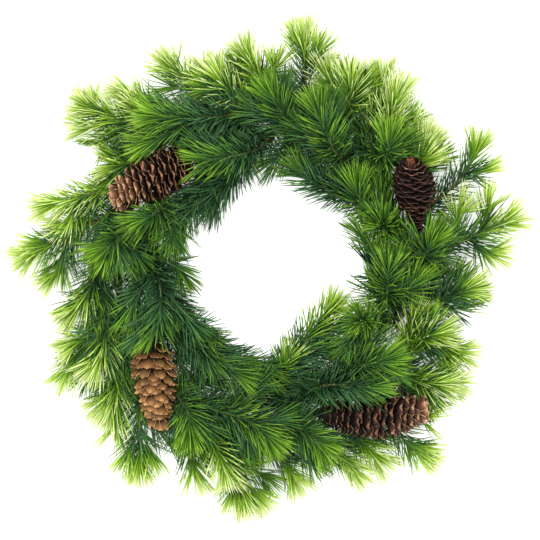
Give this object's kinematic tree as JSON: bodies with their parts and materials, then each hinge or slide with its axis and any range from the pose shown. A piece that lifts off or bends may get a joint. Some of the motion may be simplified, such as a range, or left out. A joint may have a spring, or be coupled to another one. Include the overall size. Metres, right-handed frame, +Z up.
{
  "type": "advent wreath",
  "caption": "Advent wreath of lime-tipped spruce sprigs swept round a wire ring, with four brown spruce cones and no candles.",
  "frame": {"origin": "centre of the wreath's outline, on the surface that it lies on", "axes": "+Z up out of the wreath's front, +Y towards the top of the wreath as it hangs, +X to the right as seen from the front"},
  "size_m": [0.4998, 0.4836, 0.1147],
  "materials": {
    "spruce": "matt, dark bluish green at the foot and lime green at the tips",
    "cone_wood": "dry and matt",
    "ring_wrap": "matt tape"
  },
  "bodies": {
    "root": {"cone_1": "cone_wood", "cone_2": "cone_wood", "cone_3": "cone_wood", "cone_4": "cone_wood", "ring_frame": "ring_wrap", "sprig_front_01": "spruce", "sprig_front_02": "spruce", "sprig_front_03": "spruce", "sprig_front_04": "spruce", "sprig_front_05": "spruce", "sprig_front_06": "spruce", "sprig_front_07": "spruce", "sprig_inner_01": "spruce", "sprig_inner_02": "spruce", "sprig_inner_03": "spruce", "sprig_inner_04": "spruce", "sprig_inner_05": "spruce", "sprig_inner_06": "spruce", "sprig_inner_07": "spruce", "sprig_inner_08": "spruce", "sprig_inner_09": "spruce", "sprig_inner_10": "spruce", "sprig_inner_11": "spruce", "sprig_inner_12": "spruce", "sprig_inner_13": "spruce", "sprig_inner_14": "spruce", "sprig_inner_15": "spruce", "sprig_inner_16": "spruce", "sprig_inner_17": "spruce", "sprig_inner_18": "spruce", "sprig_outer_01": "spruce", "sprig_outer_02": "spruce", "sprig_outer_03": "spruce", "sprig_outer_04": "spruce", "sprig_outer_05": "spruce", "sprig_outer_06": "spruce", "sprig_outer_07": "spruce", "sprig_outer_08": "spruce", "sprig_outer_09": "spruce", "sprig_outer_10": "spruce", "sprig_outer_11": "spruce", "sprig_outer_12": "spruce", "sprig_outer_13": "spruce", "sprig_outer_14": "spruce", "sprig_outer_15": "spruce", "sprig_outer_16": "spruce", "sprig_outer_17": "spruce", "sprig_outer_18": "spruce", "sprig_outer_19": "spruce", "sprig_outer_20": "spruce", "sprig_outer_21": "spruce", "sprig_outer_22": "spruce", "sprig_outer_23": "spruce", "sprig_outer_24": "spruce", "sprig_outer_25": "spruce", "sprig_outer_26": "spruce", "sprig_outer_27": "spruce", "sprig_outer_28": "spruce", "sprig_outer_29": "spruce", "sprig_outer_30": "spruce"}
  },
  "joints": []
}
